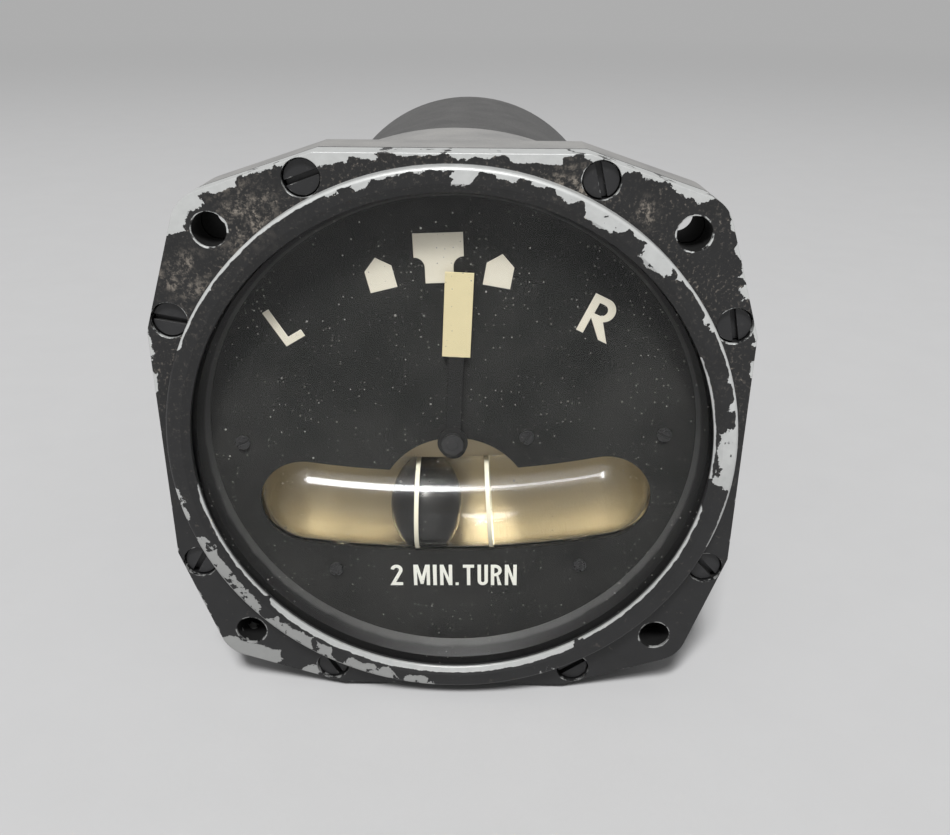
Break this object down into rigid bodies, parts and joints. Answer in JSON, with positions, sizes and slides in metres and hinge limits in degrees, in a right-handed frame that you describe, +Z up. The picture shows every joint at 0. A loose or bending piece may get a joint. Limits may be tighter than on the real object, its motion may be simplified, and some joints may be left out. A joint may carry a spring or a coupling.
{
  "type": "aircraft turn and slip indicator",
  "caption": "Panel instrument with a gyro-driven turn pointer above a curved liquid tube and sliding ball, in a round case with an eight-sided mounting flange and rear connector.",
  "frame": {"origin": "centre of the flange's front face, on the dial's axis", "axes": "+X right as the pilot sees it, +Y to the rear, +Z up; the dial faces -Y"},
  "size_m": [0.0826, 0.1594, 0.0826],
  "materials": {
    "bezel_paint": "black paint, chipped to bare aluminium on the ring and edges",
    "case_paint": "black paint, dusty",
    "screw_black": "blackened steel, worn on the heads",
    "rubber": "matt black",
    "cover_glass": "clear flat glass",
    "spacer_grey": "satin grey",
    "dial_black": "matt black, dusty",
    "mark_cream": "matt cream luminous paint",
    "tube_glass": "clear glass full of yellowed liquid",
    "cradle_cream": "aged cream paint",
    "ball_black": "glossy black ball",
    "pointer_cream": "cream tip on a black stem",
    "black_metal": "matt black",
    "aluminium": "machined",
    "steel": "ground",
    "brass": "machined",
    "core_steel": "stacked laminations",
    "copper_winding": "varnished copper",
    "board": "laminate board",
    "capacitor": "sleeved can",
    "wire": "insulated wire",
    "insert": "moulded insulator"
  },
  "bodies": {
    "case": {"front_bezel": "bezel_paint", "bezel_screws": "screw_black", "bezel_gasket": "rubber", "cover_glass": "cover_glass", "glass_gasket": "rubber", "glass_spacer": "spacer_grey", "dial_plate": "dial_black", "dial_marks": "mark_cream", "dial_screws": "screw_black", "inclinometer_tube": "tube_glass", "tube_ends": "tube_glass", "inclinometer_bands": "mark_cream", "inclinometer_cradle": "cradle_cream", "inclinometer_bracket": "aluminium", "bracket_screws": "steel", "pointer_bushes": "brass", "case_body": "case_paint", "case_can": "case_paint", "can_seal": "rubber", "can_screws": "steel", "front_plate": "aluminium", "plate_screws": "steel", "frame_pillars": "steel", "rear_plate": "aluminium", "rear_posts": "steel", "block_screws": "steel", "gimbal_bushes": "brass", "tilt_stops": "steel", "damper_cylinder": "brass", "centring_spring": "steel", "spring_adjuster": "brass", "adjuster_bracket": "aluminium", "adjuster_nut": "steel", "filter_board": "board", "board_spacers": "steel", "filter_capacitors": "capacitor", "lead_wires": "wire", "connector_shell": "aluminium", "connector_gasket": "rubber", "connector_insert": "insert", "connector_contacts": "brass", "connector_screws": "steel"},
    "gimbal": {"gimbal_frame": "aluminium", "gimbal_pivots": "steel", "gimbal_crank": "brass", "damper_arm": "brass", "rotor_bearings": "steel", "bearing_caps": "aluminium", "stator_core": "core_steel", "stator_winding": "copper_winding", "stator_carrier": "aluminium"},
    "rotor": {"gyro_rotor": "brass", "rotor_shaft": "steel"},
    "pointer": {"pointer_blade": "pointer_cream", "pointer_hub": "black_metal", "pointer_arbor": "steel", "pointer_fork": "brass"},
    "ball": {"slip_ball": "ball_black"},
    "damper": {"damper_piston": "steel"}
  },
  "joints": [
    {"name": "gimbal_tilt", "type": "hinge", "parent": "case", "child": "gimbal", "pos_m": [0, 0.056, -0.009], "axis": [0, 1, 0], "range_deg": [-15, 15], "stiffness_Nm_per_rad": 0.05, "deforming": ["centring_spring"]},
    {"name": "rotor_spin", "type": "hinge", "parent": "gimbal", "child": "rotor", "pos_m": [0, 0.056, -0.009], "axis": [1, 0, 0], "continuous": true},
    {"name": "pointer_turn", "type": "hinge", "parent": "case", "child": "pointer", "pos_m": [0, 0.003, 0], "axis": [0, 1, 0], "range_deg": [-30, 30]},
    {"name": "damper_slide", "type": "slide", "parent": "case", "child": "damper", "axis": [0, 0, 1], "range_m": [-0.0043, 0.0043]},
    {"name": "ball_roll", "type": "hinge", "parent": "case", "child": "ball", "pos_m": [-0.00369, 0.0085, 0.11754], "axis": [0, 1, 0], "range_deg": [-11.5, 7.5]}
  ],
  "couplings": [
    {"joint": "pointer_turn", "follows": "gimbal_tilt", "ratio": -2},
    {"joint": "damper_slide", "follows": "gimbal_tilt", "m_per_rad": 0.016}
  ]
}
